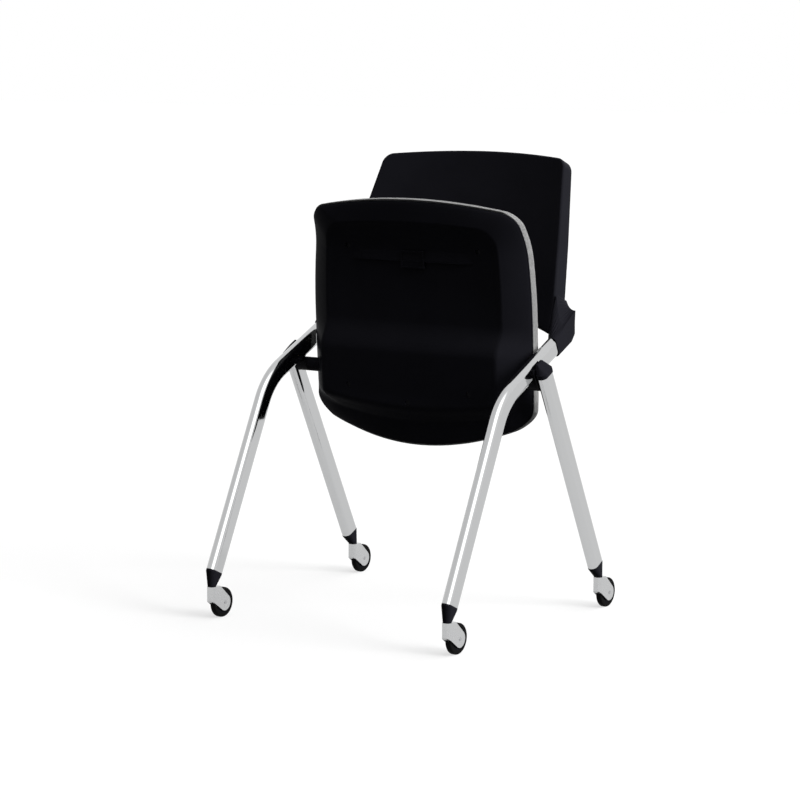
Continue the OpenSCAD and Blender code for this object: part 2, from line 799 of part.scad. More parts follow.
// A plain block with a raised rim, let into the pan's underside
module underseat_block() {
    color([0.1, 0.1, 0.11])
        fold()
            translate([block_x - block[0] / 2, -block_s - block[1] / 2,
                    floor_t(block_s) + block_sink - gap - block[2]])
                difference() {
                    cube(block);
                    translate([block_lip, block_lip, -over])
                        cube([block[0] - 2 * block_lip, block[1] - 2 * block_lip, over + block_sink]);
                }
}

barrel_out_x = collar_face_x - end_play - tooth_len;
barrel_in_x = barrel_out_x - barrel_len;
// Angle at which the barrel's tooth starts, in the level seat's own frame
barrel_tooth_start = collar_tooth_start + collar_tooth + stop_play + fold_angle;
foot_top = rim_t - board_t - gap;

module hinge_barrel(s) {
    color([0.09, 0.09, 0.1])
        fold()
            mirror([s < 0 ? 1 : 0, 0, 0]) {
                difference() {
                    union() {
                        translate([barrel_in_x, 0, 0])
                            rotate([0, 90, 0])
                                cylinder(d = barrel_d, h = barrel_len);
                        translate([barrel_in_x, -foot_plate[1] / 2, foot_top - foot_plate[2]])
                            cube([foot_plate[0], foot_plate[1], foot_plate[2]]);
                    }
                    translate([barrel_in_x - over, 0, 0])
                        rotate([0, 90, 0])
                            cylinder(r = bush_r + run, h = barrel_len + 2 * over);
                }
                tooth(barrel_out_x - over, tooth_len + over, barrel_tooth_start, barrel_tooth);
            }
}

module hinge_bushes() {
    color([0.85, 0.85, 0.82])
        fold()
            for (s = [-1, 1])
                mirror([s < 0 ? 1 : 0, 0, 0])
                    translate([barrel_in_x, 0, 0])
                        rotate([0, 90, 0])
                            difference() {
                                cylinder(r = bush_r, h = barrel_len);
                                translate([0, 0, -over])
                                    cylinder(r = axle_d / 2 + run, h = barrel_len + 2 * over);
                            }
}

module seat_screws() {
    color([0.25, 0.25, 0.27])
        fold()
            for (p = screw_places)
                translate([p[0], -p[1], floor_t(p[1]) + screw_sunk - gap - screw_head_h]) {
                    cylinder(r = screw_head_r, h = screw_head_h);
                    cylinder(r = screw_r, h = screw_head_h + gap - screw_sunk + board_low(p[1])
                        - floor_t(p[1]) + screw_bite);
                }
}

// Casters

function caster_x(front) = front ? front_x : rear_x;
function caster_y(front) = front ? 0 : stem_base;

module at_caster(s, front) {
    side(s)
        translate([caster_x(front), caster_y(front), 0])
            children();
}

module fork(s, front) {
    head_top = stem_face_z - gap;
    color([0.75, 0.76, 0.77])
        at_caster(s, front) {
            difference() {
                intersection() {
                    translate([-fork_w / 2, 0, 0])
                        rotate([90, 0, 90])
                            linear_extrude(fork_w)
                                hull() {
                                    translate([trail, wheel_r])
                                        circle(r = fork_arm_r, $fn = 32);
                                    translate([-fork_head_r, fork_head_z])
                                        square([fork_head_r + fork_head_back, head_top - fork_head_z]);
                                }
                    linear_extrude(head_top) {
                        circle(r = fork_w / 2);
                        translate([-fork_w / 2, 0])
                            square([fork_w, trail + wheel_r]);
                    }
                }
                translate([-wheel_w / 2 - slot_gap, trail, wheel_r])
                    rotate([0, 90, 0])
                        cylinder(r = wheel_r + slot_gap, h = wheel_w + 2 * slot_gap);
                translate([-fork_w, trail, wheel_r])
                    rotate([0, 90, 0])
                        cylinder(r = axle_r, h = 2 * fork_w);
            }
            translate([0, 0, head_top])
                cylinder(d = stem_d, h = stem_h);
        }
}

module axle(s, front) {
    color([0.6, 0.6, 0.62])
        at_caster(s, front)
            translate([-fork_w / 2 - axle_proud, trail, wheel_r])
                rotate([0, 90, 0])
                    cylinder(r = axle_r - run, h = fork_w + 2 * axle_proud);
}

// Sections of the wheel: one half as radius and distance from the middle, then both halves
function both_halves(half) =
    concat(half, [for (i = [len(half) - 1 : -1 : 0]) [half[i][0], -half[i][1]]]);
function hub_half() =
    let (h = wheel_w / 2, boss = axle_r + hub_boss, rim = hub_r - hub_rim)
    [[hub_r, h - hub_rim_in], [rim, h - hub_rim_in], [rim - hub_slope, h - hub_web_in],
        [boss + hub_slope, h - hub_web_in], [boss, h], [axle_r, h]];
function tyre_half() =
    let (h = wheel_w / 2, c = [wheel_r - tread_round, h - tread_round])
    concat(corner_arc(c[0], c[1], tread_round, 0), [[hub_r + run, h]]);

module wheel_piece(s, front, half) {
    at_caster(s, front)
        translate([0, trail, wheel_r])
            rotate([0, 90, 0])
                rotate_extrude()
                    polygon(both_halves(half));
}

module hub(s, front) {
    color([0.1, 0.1, 0.1])
        wheel_piece(s, front, hub_half());
}

module tyre(s, front) {
    color([0.05, 0.05, 0.05])
        wheel_piece(s, front, tyre_half());
}

module front_tube_left() { front_tube(-1); }
module front_tube_right() { front_tube(1); }
module rear_leg_left() { rear_leg(-1); }
module rear_leg_right() { rear_leg(1); }
module pivot_bracket_left() { pivot_bracket(-1); }
module pivot_bracket_right() { pivot_bracket(1); }
module leg_cap_left() { leg_cap(-1); }
module leg_cap_right() { leg_cap(1); }
module front_left_ferrule() { ferrule(-1, true); }
module front_right_ferrule() { ferrule(1, true); }
module rear_left_ferrule() { ferrule(-1, false); }
module rear_right_ferrule() { ferrule(1, false); }
module back_ear_left() { back_ear(-1); }
module back_ear_right() { back_ear(1); }
module hinge_barrel_left() { hinge_barrel(-1); }
module hinge_barrel_right() { hinge_barrel(1); }
module front_left_fork() { fork(-1, true); }
module front_right_fork() { fork(1, true); }
module rear_left_fork() { fork(-1, false); }
module rear_right_fork() { fork(1, false); }
module front_left_axle() { axle(-1, true); }
module front_right_axle() { axle(1, true); }
module rear_left_axle() { axle(-1, false); }
module rear_right_axle() { axle(1, false); }
module front_left_hub() { hub(-1, true); }
module front_right_hub() { hub(1, true); }
module rear_left_hub() { hub(-1, false); }
module rear_right_hub() { hub(1, false); }
module front_left_tyre() { tyre(-1, true); }
module front_right_tyre() { tyre(1, true); }
module rear_left_tyre() { tyre(-1, false); }
module rear_right_tyre() { tyre(1, false); }

front_tube_left();
front_tube_right();
rear_leg_left();
rear_leg_right();
pivot_bracket_left();
pivot_bracket_right();
leg_cap_left();
leg_cap_right();
cross_tube();
front_left_ferrule();
front_right_ferrule();
rear_left_ferrule();
rear_right_ferrule();
stem_sleeves();
back_ear_left();
back_ear_right();
back_shell();
back_rear_panel();
side_bumpers();
seat_pan();
seat_board();
seat_cushion();
underseat_block();
hinge_barrel_left();
hinge_barrel_right();
hinge_bushes();
seat_screws();
front_left_fork();
front_right_fork();
rear_left_fork();
rear_right_fork();
front_left_axle();
front_right_axle();
rear_left_axle();
rear_right_axle();
front_left_hub();
front_right_hub();
rear_left_hub();
rear_right_hub();
front_left_tyre();
front_right_tyre();
rear_left_tyre();
rear_right_tyre();
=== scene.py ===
"""Nesting chair: materials, upholstery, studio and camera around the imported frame."""

import json
import math

import bmesh
import bpy
import numpy as np
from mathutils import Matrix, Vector


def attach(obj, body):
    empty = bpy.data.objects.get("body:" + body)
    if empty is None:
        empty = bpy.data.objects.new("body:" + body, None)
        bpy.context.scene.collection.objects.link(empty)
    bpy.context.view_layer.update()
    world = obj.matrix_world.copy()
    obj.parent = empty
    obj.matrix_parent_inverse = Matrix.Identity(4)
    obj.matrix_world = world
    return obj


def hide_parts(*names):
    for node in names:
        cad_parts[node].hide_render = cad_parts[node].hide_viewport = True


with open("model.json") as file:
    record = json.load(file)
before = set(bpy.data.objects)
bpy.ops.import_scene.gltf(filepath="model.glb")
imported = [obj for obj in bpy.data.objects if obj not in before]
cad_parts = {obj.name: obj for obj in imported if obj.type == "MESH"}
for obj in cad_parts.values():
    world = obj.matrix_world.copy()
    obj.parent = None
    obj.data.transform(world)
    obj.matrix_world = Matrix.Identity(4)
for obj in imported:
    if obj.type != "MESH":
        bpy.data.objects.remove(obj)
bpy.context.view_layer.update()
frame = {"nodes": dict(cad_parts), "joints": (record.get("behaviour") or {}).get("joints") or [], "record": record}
nodes = frame["nodes"]
scene = bpy.context.scene
MM = 0.001

# Camera, at the photograph's viewing angle: metres, degrees and millimetres of lens
CAMERA_AT = (2.5949, -3.7959, 1.0388)
CAMERA_AZIMUTH = 34.557
CAMERA_ELEVATION = 7.988
CAMERA_LENS = 114.42
CAMERA_REACH = 100
SENSOR = 36.0

# Seat frame at rest: the hinge axis, and how far the seat is folded up from level
seat_joint = next(j for j in frame["joints"] if j["name"] == "seat_flip")
SEAT_PIVOT = np.array(seat_joint["pos_m"]) / MM
SEAT_FOLD = math.radians(87)

# Seat, in millimetres, with the part's own values
PAN_W, PAN_LEN, PAN_REAR = 476.0, 445.0, 128.0
PAN_DEPTH, PAN_SKIN, RIM_T = 27.0, 3.0, 17.0
WATERFALL, WATERFALL_FROM = 40.0, 216.0
REAR_ROLL, REAR_ROLL_FROM = 27.0, 30.0
CORNER_FRONT, CORNER_REAR, CORNER_RECESS = 28.0, 40.0, 34.0
BOW_FRONT, BOW_REAR = 21.0, 50.0
NARROW_FRONT, NARROW_REAR = 17.0, 2.0
FLANK, FLANK_FRONT_SHARE, FLANK_POWER, FLANK_FLAT = 46.0, 0.8, 0.7, 0.75
RECESS_EDGE, RECESS_DEEP, RECESS_START, RECESS_RUN = 7.0, 7.0, 0.4, 0.3
BELLY_T, BELLY_FRONT, BELLY_REAR, FRONT_RISE = -32.0, (96.0, 56.0), (-90.0, 36.0), 124.0
PAN_HALF = PAN_LEN / 2
PAN_FRONT = PAN_LEN - PAN_REAR
PAN_MID = PAN_HALF - PAN_REAR
CREST_T = RIM_T - PAN_DEPTH
SCREWS = [(-143, 230), (143, 230), (-132, -25), (132, -25), (0, -50)]
SCREW_HOLE, SCREW_SUNK = 5.3, 4.0
BARREL_FROM, BARREL_CUT = 180.2, 14.0
BLOCK_AT, BLOCK_SIZE, BLOCK_SINK = (2.0, 210.0), (50.6, 31.6), 1.5

# Finger ridge, in millimetres; its profile is in shares of its half width and of its rise
RIDGE_S, RIDGE_REACH, RIDGE_RISE, RIDGE_HALF, RIDGE_STEP = 217.0, 150.0, 5.0, 12.0, 2.0
RIDGE_STEP_SHARE = RIDGE_STEP / RIDGE_HALF
RIDGE_PROFILE = [
    (-1.0, -0.4),
    (-0.6, 0.16),
    (-0.2, 0.42),
    (0.2, 0.68),
    (1 - 2 * RIDGE_STEP_SHARE, 0.93),
    (1 - RIDGE_STEP_SHARE, 1.0),
    (1.0, -0.4),
]
RIDGE_FADE, RIDGE_SUNK = 50.0, 0.3

# Cushion, in millimetres. Its side is in shares of the overhang and of the height
CUSHION_LOW, CUSHION_EDGE, CUSHION_TOP, CUSHION_CROWN = 17.5, 20.6, 40.6, 12.0
CUSHION_OVER, CUSHION_END_OVER = 2.0, 3.5
CUSHION_SEAM_IN, CUSHION_IN, CUSHION_BOTTOM_IN = 1.0, 7.0, 21.0
CUSHION_SIDE = [(0.7, 0), (1.2, 0.08), (2.1, 0.3), (2.5, 0.55), (2.3, 0.78), (0.8, 1)]
CROWN_POWER = 3.0

# Black strip between pan and cushion, standing in for the shadow in that gap (painted shade): each corner's place
# past the pan's outline, and its height
SHADOW_STRIP_SECTION = [(-4.0, 17.4), (0.8, 17.5), (1.2, 18.0), (1.2, 19.8), (0.8, 20.3), (-4.0, 20.3)]

# Cloth: the cushion starts slack, a little inside its real shape, and is held to its space
CUSHION_SLACK, SLACK_RISE = 0.6, 0.25
CLOTH_PRESSURE = 4.0
CLOTH_FRAMES = 20
CLOTH_CAP = 2.0
HELD_HEIGHT = 1.0
TINY = 1e-6

# Back, in millimetres: its foot in the side view, then the part's own values
BACK_FOOT = (87.47, 522.02)
BACK_W_LOW, BACK_W_TOP, BACK_H, BACK_LEAN = 486.0, 400.0, 352.0, math.radians(21.6)
BACK_SAG, BACK_T_TOP, BACK_T_LOW, BACK_ARCH = 26.0, 30.0, 41.0, 55.0
BACK_SKIN, BACK_CROWN, BACK_CORNER, BACK_LOW_CORNER = 3.5, 20.0, 20.0, 8.0
BACK_SPLAY, BACK_EDGE = 0.73, 5.0
PANEL_GAP, PANEL_T, PANEL_LIFT = 0.3, 3.0, 1.0
PANEL_ROUND_IN, PANEL_ROUND_UP = 0.3, 0.7

# Rings: points round a corner and along a side, and the shares from the outline to the middle
CORNER_STEPS, SIDE_STEPS = 12, 44
FLANK_SHARES = np.linspace(0, 1, 22) ** 1.5
RECESS_SHARES = np.linspace(1, 0.02, 42)
CROWN_SHARES = np.linspace(0.97, 0.13, 22)
BOTTOM_SHARES = np.linspace(0.85, 0.15, 7)
BACK_SHARES = np.linspace(1, 0.03, 24)
BACK_EDGE_TURNS = np.radians(np.linspace(0, 90, 8))
RIDGE_STEPS, SCREW_SIDES, BARREL_SIDES = 61, 32, 48

# Edges sharper than these, in degrees, stay sharp
SMOOTH_ANGLE, RIDGE_AND_STRIP_ANGLE, PAN_ANGLE, CUSHION_ANGLE = 32, 50, 60, 75


class Tree:
    """A material's or the world's node tree, with short calls for the nodes used here."""

    def __init__(self, owner):
        owner.use_nodes = True
        self.tree = owner.node_tree
        self.tree.nodes.clear()

    def node(self, kind, inputs=None, **settings):
        made = self.tree.nodes.new(kind)
        for name, value in settings.items():
            setattr(made, name, value)
        for name, value in (inputs or {}).items():
            self.put(made.inputs[name], value)
        return made

    def put(self, socket, value):
        if isinstance(value, bpy.types.NodeSocket):
            self.tree.links.new(value, socket)
        else:
            socket.default_value = value

    def maths(self, operation, a, b=0.0, c=0.0):
        made = self.node("ShaderNodeMath", operation=operation)
        for socket, value in zip(made.inputs, (a, b, c)):
            self.put(socket, value)
        return made.outputs[0]

    def noise(self, where, scale, detail, rough=0.5):
        inputs = {"Vector": where, "Scale": scale, "Detail": detail, "Roughness": rough}
        return self.node("ShaderNodeTexNoise", inputs).outputs["Fac"]

    def spread(self, value, span, to_low=0.0, to_high=1.0):
        inputs = {"Value": value, "From Min": span[0], "From Max": span[1]}
        inputs |= {"To Min": to_low, "To Max": to_high}
        return self.node("ShaderNodeMapRange", inputs).outputs[0]

    def step(self, value, span):
        """A smooth step from 0 to 1 as the value crosses the span."""
        inputs = {"Value": value, "From Min": span[0], "From Max": span[1]}
        made = self.node("ShaderNodeMapRange", inputs, interpolation_type="SMOOTHSTEP")
        return made.outputs[0]

    def blend(self, share, a, b):
        made = self.node("ShaderNodeMix", data_type="RGBA")
        self.put(made.inputs["Factor"], share)
        self.put(made.inputs["A"], a)
        self.put(made.inputs["B"], b)
        return made.outputs["Result"]

    def bump(self, height, strength, distance):
        inputs = {"Height": height, "Strength": strength, "Distance": distance}
        return self.node("ShaderNodeBump", inputs).outputs["Normal"]


def grey(level):
    return (level, level, level, 1)


# Noises, as a scale per metre, a detail and sometimes a roughness; NOISE_SPAN is what maps use
NOISE_SPAN, HAZE_SPAN = (0.3, 0.7), (0.35, 0.7)
HAZE, RIPPLE, CASTING, TURNING = (35.0, 3.0), (9.0, 1.0), (120.0, 4.0), (400.0, 2.0)
MOULD_GRAIN, MOULD_CLOUD = (1500.0, 2.0), (12.0, 3.0)
RUBBER_GRAIN, WOOD_GRAIN, PLASTIC_CLOUD = (900.0, 3.0), (6.0, 5.0), (60.0, 2.0)
YARN, MOTTLE, WEAR = (520.0, 3.0, 0.7), (130.0, 4.0, 0.75), (9.0, 2.0)


def surface(name, fixed, paint):
    """A Principled material. fixed holds constant sockets, and paint links the varying ones."""
    material = bpy.data.materials.new(name)
    tree = Tree(material)
    shader = tree.node("ShaderNodeBsdfPrincipled", fixed)
    where = tree.node("ShaderNodeTexCoord").outputs["Object"]
    for socket, value in paint(tree, where).items():
        tree.put(shader.inputs[socket], value)
    out = tree.node("ShaderNodeOutputMaterial")
    tree.put(out.inputs["Surface"], shader.outputs[0])
    return material


def finish(name, fixed, colour=None, rough=None, relief=None, span=NOISE_SPAN, stretch=None):
    """A material that varies with noise.

    colour, rough and relief each hold a noise and two values: the colours it runs between,
    the roughness it runs between, and the relief's strength and height.
    """

    def paint(tree, where):
        if stretch:
            where = tree.node("ShaderNodeMapping", {"Vector": where, "Scale": stretch}).outputs[0]
        made = {}
        if colour:
            noise, dark, light = colour
            made["Base Color"] = tree.blend(tree.noise(where, *noise), dark, light)
        if rough:
            noise, low, high = rough
            made["Roughness"] = tree.spread(tree.noise(where, *noise), span, low, high)
        if relief:
            noise, strength, height = relief
            made["Normal"] = tree.bump(tree.noise(where, *noise), strength, height)
        return made

    return surface(name, fixed, paint)


METAL_TONE = (0.56, 0.565, 0.57, 1)
BLACK_DARK, BLACK_LIGHT, BLACK_ROUGH_SPAN = (0.8, 0.8, 1.05), (1.15, 1.15, 1.5), 0.04
RUBBER_DARK, RUBBER_LIGHT, RUBBER_GLOSS = 0.7, 1.3, 0.04


def moulded_black(name, level, rough, gloss, grain=0.25):
    """Black moulded plastic with a fine spark-eroded grain."""
    dark, light = ((*(level * k for k in tone), 1) for tone in (BLACK_DARK, BLACK_LIGHT))
    return finish(
        name,
        {"Specular IOR Level": gloss},
        colour=(MOULD_CLOUD, dark, light),
        rough=(MOULD_CLOUD, rough - BLACK_ROUGH_SPAN, rough + BLACK_ROUGH_SPAN),
        relief=(MOULD_GRAIN, grain, 0.0003),
    )


def rubber(name, level):
    return finish(
        name,
        {"Specular IOR Level": RUBBER_GLOSS},
        colour=(RUBBER_GRAIN, grey(level * RUBBER_DARK), grey(level * RUBBER_LIGHT)),
        rough=(RUBBER_GRAIN, 0.55, 0.75),
        relief=(RUBBER_GRAIN, 0.3, 0.0004),
    )


WEAVE_PITCH, SIDE_WEAVE, YARN_RELIEF = 1.3 * MM, 0.7, 1.2
WEAVE_RELIEF, WEAVE_HEIGHT = 0.55, 0.0004
THREAD_SPAN, DARK_THREAD, LIGHT_THREAD = (0.1, 0.9), (0.09, 0.2), (0.17, 0.33)
WORN_SHARE, WORN_TONE = 0.25, 0.2


def fabric():
    """Plain-woven grey upholstery: two thread directions on each face, with a mottled yarn."""

    def tone(tree, where, noise, levels):
        return tree.blend(tree.spread(tree.noise(where, *noise), NOISE_SPAN), *map(grey, levels))

    def paint(tree, where):
        at_hinge = {0: where, 1: tuple(SEAT_PIVOT * MM)}
        from_hinge = tree.node("ShaderNodeVectorMath", at_hinge, operation="SUBTRACT").outputs[0]
        turn = {"Vector": from_hinge, "Angle": SEAT_FOLD}
        turned = tree.node("ShaderNodeVectorRotate", turn, rotation_type="X_AXIS").outputs[0]
        axes = tree.node("ShaderNodeSeparateXYZ", {"Vector": turned}).outputs
        pitch = 2 * math.pi / WEAVE_PITCH
        waves = [tree.maths("SINE", tree.maths("MULTIPLY", axis, pitch)) for axis in axes]
        over = tree.maths("MULTIPLY", waves[0], waves[1])
        side = tree.maths("MULTIPLY", waves[2], tree.maths("ADD", waves[0], waves[1]))
        weave = tree.maths("ADD", over, tree.maths("MULTIPLY", side, SIDE_WEAVE))
        thread = tree.maths("ADD", tree.maths("MULTIPLY", weave, 0.5), 0.5)
        dark = tone(tree, where, MOTTLE, DARK_THREAD)
        light = tone(tree, where, YARN, LIGHT_THREAD)
        mixed = tree.blend(tree.spread(thread, THREAD_SPAN), dark, light)
        worn = tree.spread(tree.noise(where, *WEAR), NOISE_SPAN, 0.0, WORN_SHARE)
        yarn = tree.maths("MULTIPLY", tree.noise(where, *YARN), YARN_RELIEF)
        height = tree.maths("ADD", weave, yarn)
        return {
            "Base Color": tree.blend(worn, mixed, grey(WORN_TONE)),
            "Normal": tree.bump(height, WEAVE_RELIEF, WEAVE_HEIGHT),
        }

    fixed = {"Roughness": 0.92, "Specular IOR Level": 0.15}
    fixed |= {"Sheen Weight": 0.12, "Sheen Roughness": 0.5}
    return surface("grey_upholstery", fixed, paint)


MATERIALS = {
    "polished_tube": finish(
        "polished_chrome",
        {"Base Color": METAL_TONE, "Metallic": 1.0},
        rough=(HAZE, 0.05, 0.09),
        relief=(RIPPLE, 0.03, 0.002),
        span=HAZE_SPAN,
    ),
    "black_metal": moulded_black("black_powder_coat", 0.006, 0.33, 0.03, 0.12),
    "black_plastic": moulded_black("black_plastic", 0.0094, 0.36, 0.006),
    "zinc_steel": finish(
        "zinc_plate",
        {"Base Color": (0.45, 0.45, 0.46, 1), "Metallic": 1.0},
        rough=(TURNING, 0.25, 0.4),
    ),
    "rubber": rubber("black_rubber", 0.004),
    "plywood": finish(
        "plywood",
        {"Roughness": 0.7},
        colour=(WOOD_GRAIN, (0.42, 0.27, 0.14, 1), (0.66, 0.48, 0.29, 1)),
        relief=(WOOD_GRAIN, 0.2, 0.0005),
        stretch=(6.0, 90.0, 90.0),
    ),
    "grey_fabric": fabric(),
    "bush_plastic": finish(
        "natural_plastic",
        {"Roughness": 0.4},
        colour=(PLASTIC_CLOUD, (0.7, 0.7, 0.64, 1), (0.8, 0.8, 0.75, 1)),
    ),
    "fork_metal": finish(
        "die_cast_metal",
        {"Base Color": METAL_TONE, "Metallic": 1.0},
        rough=(CASTING, 0.16, 0.3),
        relief=(CASTING, 0.06, 0.001),
    ),
    "hub_plastic": moulded_black("wheel_plastic", 0.005, 0.33, 0.014, 0.1),
    "tyre": rubber("tread", 0.003),
}


def dress(obj, slot):
    obj.data.materials.clear()
    obj.data.materials.append(MATERIALS[slot])


def shade(mesh, angle=SMOOTH_ANGLE):
    """Smooth shading, with edges sharper than the angle left sharp."""
    mesh.polygons.foreach_set("use_smooth", [True] * len(mesh.polygons))
    mesh.set_sharp_from_angle(angle=math.radians(angle))


# Surfaces drawn as stacks of rings
def lerp(a, b, share):
    return a + (b - a) * share


def ease(share):
    c = np.clip(share, 0, 1)
    return c * c * (3 - 2 * c)


def outline(half_w, half_l, top_r, low_r):
    """A rectangle with round corners: each corner's arc, then an even run to the next."""
    corners = ((0, 1, 1, top_r), (90, -1, 1, top_r), (180, -1, -1, low_r), (270, 1, -1, low_r))
    arcs = []
    for start, x, y, r in corners:
        turn = np.radians(start + 90 * np.arange(CORNER_STEPS + 1) / CORNER_STEPS)
        across, along = x * (half_w - r) + r * np.cos(turn), y * (half_l - r) + r * np.sin(turn)
        arcs.append(np.stack([across, along], 1))
    share = np.arange(1, SIDE_STEPS + 1)[:, None] / (SIDE_STEPS + 1)
    runs = [lerp(arcs[i][-1], arcs[(i + 1) % 4][0], share) for i in range(4)]
    return np.concatenate([piece for pair in zip(arcs, runs) for piece in pair])


def ring_faces(rings, count, closed=False):
    """Faces from each ring of count points to the next; closed joins the last to the first."""
    faces = []
    for i in range(rings if closed else rings - 1):
        near, far = i * count, (i + 1) % rings * count
        for j in range(count):
            k = (j + 1) % count
            faces.append((near + j, near + k, far + k, far + j))
    return faces


def solid(name, points, faces):
    """A closed mesh from points in millimetres, with its faces turned outwards."""
    mesh = bpy.data.meshes.new(name)
    mesh.from_pydata((np.asarray(points) * MM).tolist(), [], faces)
    made = bmesh.new()
    made.from_mesh(mesh)
    bmesh.ops.recalc_face_normals(made, faces=made.faces)
    made.to_mesh(mesh)
    made.free()
    piece = bpy.data.objects.new(name, mesh)
    scene.collection.objects.link(piece)
    return piece


def skin(name, rings, mids):
    """A closed mesh over a stack of rings, in millimetres, with a middle point at each end."""
    count = len(rings[0])
    points = np.concatenate([*rings, np.array([mids[0]]), np.array([mids[1]])])
    first, last, end = len(points) - 2, len(points) - 1, (len(rings) - 1) * count
    faces = ring_faces(len(rings), count)
    for j in range(count):
        k = (j + 1) % count
        faces.append((first, k, j))
        faces.append((last, end + j, end + k))
    return solid(name, points, faces)


def evaluated(piece):
    """The piece's mesh with its modifiers applied; they are taken off it."""
    depsgraph = bpy.context.evaluated_depsgraph_get()
    mesh = bpy.data.meshes.new_from_object(piece.evaluated_get(depsgraph))
    piece.modifiers.clear()
    piece.data = mesh
    return mesh


def fit_piece(piece, body, slot, *replaced):
    dress(piece, slot)
    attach(piece, body)
    if replaced:
        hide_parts(*replaced)


# Seat: s runs forwards from the hinge axis and t upwards from it
def seat_drop(s):
    front = np.maximum(0, s - WATERFALL_FROM) / (PAN_FRONT - WATERFALL_FROM)
    rear = np.maximum(0, -s - REAR_ROLL_FROM) / (PAN_REAR - REAR_ROLL_FROM)
    return WATERFALL * front**2 + REAR_ROLL * rear**2


def seat_points(c, t):
    """Points at places c across the outline's plane and heights t, as x, s and t."""
    v = c[:, 1] / PAN_HALF
    u = 2 * c[:, 0] / PAN_W
    x = c[:, 0] - np.where(v > 0, NARROW_FRONT, NARROW_REAR) * v * v * u
    s = PAN_MID + c[:, 1] - np.where(v > 0, BOW_FRONT, -BOW_REAR) * v * v * u * u
    return np.stack([x, s, t - seat_drop(s)], 1)


def folded(points):
    """Points given as x, s and t, placed in the folded seat, in millimetres."""
    x, s, t = np.atleast_2d(points).T
    y = SEAT_PIVOT[1] - s * math.cos(SEAT_FOLD) + t * math.sin(SEAT_FOLD)
    z = SEAT_PIVOT[2] + s * math.sin(SEAT_FOLD) + t * math.cos(SEAT_FOLD)
    return np.stack([x, y, z], 1)


def seat_outline(inset):
    front_in = inset * FLANK_FRONT_SHARE
    share = inset / FLANK
    ring = outline(
        PAN_W / 2 - inset,
        PAN_HALF - (inset + front_in) / 2,
        lerp(CORNER_FRONT, CORNER_RECESS, share),
        lerp(CORNER_REAR, CORNER_RECESS, share),
    )
    return ring + (0, (inset - front_in) / 2)


def swell(s):
    """Share of the belly's depth along the seat."""
    front, rear = (BELLY_FRONT[0] - s) / BELLY_FRONT[1], (s - BELLY_REAR[0]) / BELLY_REAR[1]
    return ease(front) * ease(rear)


def belly(s, deep=RECESS_DEEP):
    """Height of the pan's underside in its recess, before the seat's fall."""
    floor = CREST_T + deep * ease((s - BELLY_FRONT[0] / 2) / FRONT_RISE)
    return lerp(floor, BELLY_T, swell(s))


def underside(s):
    return float(belly(s) - seat_drop(s))


def pan_ring(depth, inward, lift):
    """A ring of the flank: depth is how far in from the rim, inward and lift make the inside."""
    c = seat_outline(depth + inward)
    share = depth / FLANK
    turn = lerp(math.sin(math.pi / 2 * share) ** FLANK_POWER, share, FLANK_FLAT)
    t = RIM_T - (RIM_T - lerp(CREST_T, BELLY_T, swell(PAN_MID + c[:, 1]))) * turn
    return folded(seat_points(c, t + lift))


def recess_ring(share, lift):
    c = seat_outline(FLANK + RECESS_EDGE) * share
    deep = RECESS_DEEP * lerp(RECESS_START, 1, ease((1 - share) / RECESS_RUN))
    return folded(seat_points(c, belly(PAN_MID + c[:, 1], deep) + lift))


def cylinder(radius, depth, sides):
    made = bmesh.new()
    ends = {"radius1": radius, "radius2": radius, "cap_ends": True}
    bmesh.ops.create_cone(made, segments=sides, depth=depth, **ends)
    return made


def block(size):
    made = bmesh.new()
    bmesh.ops.create_cube(made, size=1)
    bmesh.ops.scale(made, verts=made.verts, vec=size)
    return made


def place_cut(cuts, made, place, axes=(0, 1, 2)):
    """Adds a shape drawn about the origin to the cuts, at its place in the seat."""
    for vert in made.verts:
        local = [vert.co[axis] for axis in axes]
        vert.co = folded(np.add(place, local))[0] * MM
    mesh = bpy.data.meshes.new("cut")
    made.to_mesh(mesh)
    made.free()
    cuts.from_mesh(mesh)


def pan_cuts():
    """The screw holes, the block's pocket and the openings for the hinge barrels, as one mesh."""
    cuts = bmesh.new()
    depth = 2 * PAN_DEPTH
    for x, s in SCREWS:
        place = (x, s, underside(s) + SCREW_SUNK - depth / 2)
        place_cut(cuts, cylinder(SCREW_HOLE, depth, SCREW_SIDES), place)
    x, s = BLOCK_AT
    place_cut(cuts, block((*BLOCK_SIZE, depth)), (x, s, underside(s) + BLOCK_SINK - depth / 2))
    reach = PAN_W / 2 + PAN_SKIN - BARREL_FROM
    for side in (-1, 1):
        place = (side * (BARREL_FROM + reach / 2), 0, 0)
        place_cut(cuts, cylinder(BARREL_CUT, reach, BARREL_SIDES), place, (2, 0, 1))
    bmesh.ops.recalc_face_normals(cuts, faces=cuts.faces)
    mesh = bpy.data.meshes.new("pan_cuts")
    cuts.to_mesh(mesh)
    cuts.free()
    piece = bpy.data.objects.new("pan_cuts", mesh)
    scene.collection.objects.link(piece)
    return piece


def seat_pan():
    """The moulded pan: its outer skin from recess to rim, then its inner skin back."""
    inner_flank = [k for k in FLANK_SHARES if k * FLANK > 2 * PAN_SKIN]
    outer = [pan_ring(k * FLANK, 0, 0) for k in FLANK_SHARES]
    outer += [recess_ring(k, 0) for k in RECESS_SHARES]
    inner = [pan_ring(0, PAN_SKIN, 0)]
    inner += [pan_ring(k * FLANK, (1 - k) * PAN_SKIN, PAN_SKIN) for k in inner_flank]
    inner += [recess_ring(k, PAN_SKIN) for k in RECESS_SHARES]
    middle = belly(PAN_MID)
    mids = folded([(0, PAN_MID, middle), (0, PAN_MID, middle + PAN_SKIN)])
    pan = skin("seat_pan_shell", outer[::-1] + inner, mids)
    cuts = pan_cuts()
    carve = pan.modifiers.new("cuts", "BOOLEAN")
    carve.object = cuts
    carve.solver = "EXACT"
    evaluated(pan)
    bpy.data.objects.remove(cuts)
    shade(pan.data, PAN_ANGLE)
    return pan


